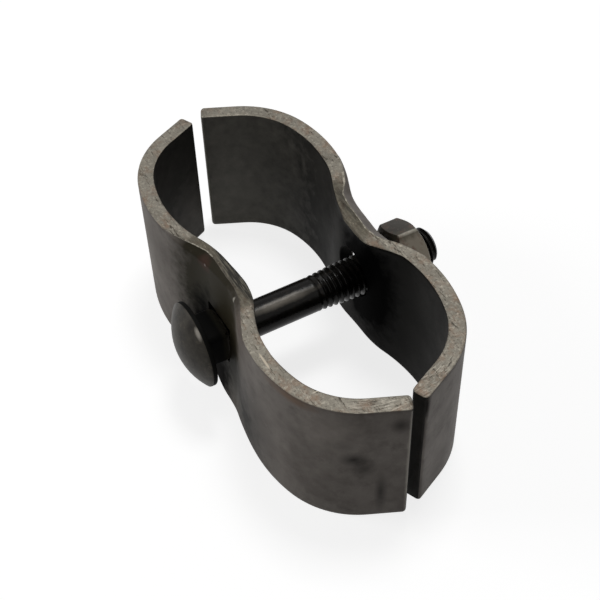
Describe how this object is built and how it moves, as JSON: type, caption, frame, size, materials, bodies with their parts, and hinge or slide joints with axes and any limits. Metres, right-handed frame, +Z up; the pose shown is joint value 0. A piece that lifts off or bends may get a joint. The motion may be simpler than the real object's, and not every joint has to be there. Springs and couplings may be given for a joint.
{
  "type": "panel clamp",
  "caption": "Two pressed steel strap halves that clasp two round tubes side by side, drawn together at the waist by a cup head coach bolt and a hexagon nut.",
  "frame": {"origin": "below the middle of the whole clamp, on the plane that the straps' lower edges stand on", "axes": "+X along the clamp through both saddles, +Y along the bolt from its head to its nut, +Z up along the tubes"},
  "size_m": [0.1088, 0.069, 0.038],
  "materials": {
    "strap_steel": "bare mill steel with sheared edges",
    "bolt_steel": "dark oiled steel",
    "nut_steel": "dull plain steel"
  },
  "bodies": {
    "root": {"front_strap": "strap_steel", "back_strap": "strap_steel", "coach_bolt": "bolt_steel", "hex_nut": "nut_steel"}
  },
  "joints": []
}
